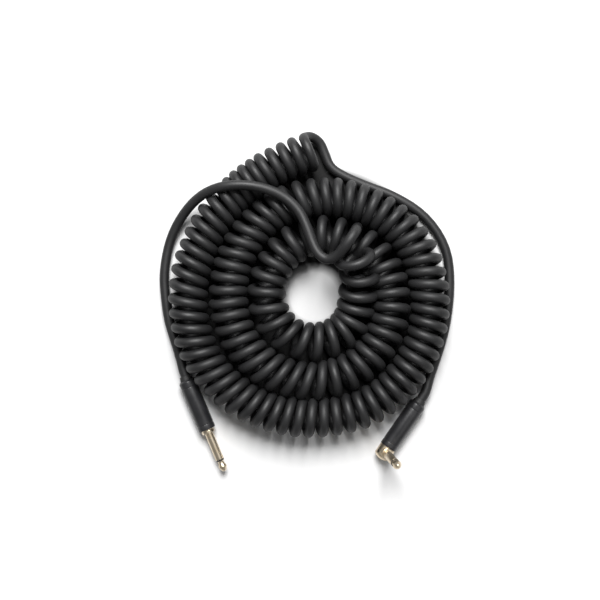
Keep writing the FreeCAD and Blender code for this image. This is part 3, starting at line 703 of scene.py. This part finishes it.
collar_end = PIN_REACH + COLLAR_LEN
tip_lug_back = SPIGOT_END + WASHER_LEN + TIP_LUG_PLATE
to_axis = PIN_REACH + BOSS_REACH
contact_tip("straight", straight_pin, collar_end + tip_lug_back)
insulating_ring("straight", straight_pin, collar_end + SPIGOT_END)
straight_sleeve()
shell("straight", straight_handle)
bushing("straight", straight_handle)
angle_pieces = [
    contact_tip("angle", angle_pin, to_axis + STRAP_HALF),
    insulating_ring("angle", angle_pin, to_axis - STRAP_HALF),
    angle_sleeve(),
    shell("angle", angle_handle),
    bushing("angle", angle_handle),
    *angle_head(),
]

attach(cord, "cable")
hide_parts("curly_cord", "straight_tail", "angle_tail")

# Pieces inside the handles keep their solids and take the finish of what they are
INNER_FINISHES = {
    "ground_lug": TIN, "tip_lug": TIN, "tip_strap": TIN, "core": POLYTHENE, "shield": COPPER,
    "liner": FILM, "washer": ACETAL, "bush": ACETAL,
}
for name, node in frame["nodes"].items():
    inner_finish = INNER_FINISHES.get(name.split("_", 1)[1])
    if inner_finish:
        for slot in node.material_slots:
            slot.material = inner_finish


# Floor, world and lamps

WHITE = (1, 1, 1, 1)
FLOOR_HALF = 3.0
FLOOR_DROP = 0.2 * MM
FLOOR_GLOSS = 0.1
# The paper is white round the coil. Where the coil covers it, and round the coil's end, it is
# painted dark grey as shade, so that no lit paper shines through between the curls; in the hole
# it is white again but for a touch of that painted shade. It glows to the camera far from the
# coil. Each pair is where an edge begins and ends, from the hole's middle or the coil's end.
PAINTED_SHADE_UNDER_COIL = "#262626"
HOLE_EDGE = (18 * MM, 26 * MM)
HOLE_SHARE = 0.95
COIL_EDGE = (94 * MM, 100 * MM)
COIL_END = Vector((4.0, 108.0, 0)) * MM
COIL_END_EDGE = (13 * MM, 15 * MM)
GLOW_EDGE = (112 * MM, 450 * MM)
PAPER_GLOW = 1.0


def floor_finish():
    """Matt paper with painted shade under the coil and its end, nearly white again in the hole."""
    material = new_finish("matt_white_paper_painted_shade", ("#e4e4e4", "#e8e8e8"), cloud_mm=60.0, rough=(0.75, 0.85))
    tree = material.node_tree
    shader = tree.nodes["Principled BSDF"]
    spot = tree.nodes["Texture Coordinate"].outputs["Object"]
    # Round patches: their middle, their edge, and the values inside and outside it. The first three
    # give the share of the paper's own colour against the painted shade, the last the glow.
    patches = (
        (HOLE_MIDDLE, COIL_EDGE, 0.0, 1.0),
        (COIL_END, COIL_END_EDGE, 0.0, 1.0),
        (HOLE_MIDDLE, HOLE_EDGE, HOLE_SHARE, 0.0),
        (HOLE_MIDDLE, GLOW_EDGE, 0.0, PAPER_GLOW),
    )
    shares = []
    for middle, edge, inside, outside in patches:
        away = add_node(tree, "ShaderNodeVectorMath", {"operation": "DISTANCE", 1: middle}, {0: spot})
        settings = {1: edge[0], 2: edge[1], 3: inside, 4: outside}
        share = add_node(tree, "ShaderNodeMapRange", settings, {0: away.outputs["Value"]})
        shares.append(share.outputs[0])
    off_coil, off_end, in_hole, far_off = shares
    outer = add_node(tree, "ShaderNodeMath", {"operation": "MULTIPLY"}, {0: off_coil, 1: off_end})
    bare = add_node(tree, "ShaderNodeMath", {"operation": "MAXIMUM"}, {0: outer.outputs[0], 1: in_hole})
    lit = shader.inputs["Base Color"].links[0].from_socket
    # Painted shade: the paper's own colour mixed towards dark grey by the share above
    settings = {"data_type": "RGBA", 6: colour(PAINTED_SHADE_UNDER_COIL)}
    shade = add_node(tree, "ShaderNodeMix", settings, {0: bare.outputs[0], 7: lit})
    tree.links.new(shade.outputs[2], shader.inputs["Base Color"])
    shader.inputs["Specular IOR Level"].default_value = FLOOR_GLOSS
    seen = add_node(tree, "ShaderNodeLightPath").outputs["Is Camera Ray"]
    glow = add_node(tree, "ShaderNodeMath", {"operation": "MULTIPLY"}, {0: seen, 1: far_off})
    shader.inputs["Emission Color"].default_value = WHITE
    tree.links.new(glow.outputs[0], shader.inputs["Emission Strength"])
    return material


floor_mesh = bpy.data.meshes.new("floor")
corners = [(FLOOR_HALF * x, FLOOR_HALF * y, 0) for x, y in ((-1, -1), (1, -1), (1, 1), (-1, 1))]
floor_mesh.from_pydata(corners, [], [(0, 1, 2, 3)])
floor_mesh.materials.append(floor_finish())
floor = bpy.data.objects.new("floor", floor_mesh)
floor.location.z = -FLOOR_DROP
bpy.context.scene.collection.objects.link(floor)

# The world is white to the camera and through what is clear, dimmer in reflections, and faint to all else.
MIRRORED_SKY = 0.25
ROOM_LIGHT = 0.06
world = bpy.data.worlds.new("studio")
world.use_nodes = True
bpy.context.scene.world = world
tree = world.node_tree
background = tree.nodes["Background"]
path = add_node(tree, "ShaderNodeLightPath").outputs
settings = {"operation": "MULTIPLY", 1: MIRRORED_SKY}
mirrored = add_node(tree, "ShaderNodeMath", settings, {0: path["Is Glossy Ray"]})
behind = {0: path["Is Camera Ray"], 1: path["Is Transmission Ray"]}
seen = add_node(tree, "ShaderNodeMath", {"operation": "MAXIMUM"}, behind)
sources = {0: seen.outputs[0], 1: mirrored.outputs[0]}
either = add_node(tree, "ShaderNodeMath", {"operation": "MAXIMUM"}, sources)
strength = add_node(tree, "ShaderNodeMath", {"operation": "MAXIMUM", 1: ROOM_LIGHT}, {0: either.outputs[0]})
background.inputs["Color"].default_value = WHITE
tree.links.new(strength.outputs[0], background.inputs["Strength"])


def lamp(name, place, size, power):
    """A square soft lamp that faces the object."""
    data = bpy.data.lights.new(name, "AREA")
    data.size = size
    data.energy = power
    thing = bpy.data.objects.new(name, data)
    bpy.context.scene.collection.objects.link(thing)
    thing.location = place
    thing.rotation_euler = (-Vector(place)).to_track_quat("-Z", "Y").to_euler()
    return thing


# The key lamp stands above the photograph's top edge, so that shadows fall towards its bottom.
lamp("key", place=(0.0, 0.82, 1.14), size=0.7, power=34)
lamp("fill", place=(0.7, -0.3, 1.2), size=0.9, power=1.6)

view = bpy.context.scene.view_settings
view.view_transform = "Standard"
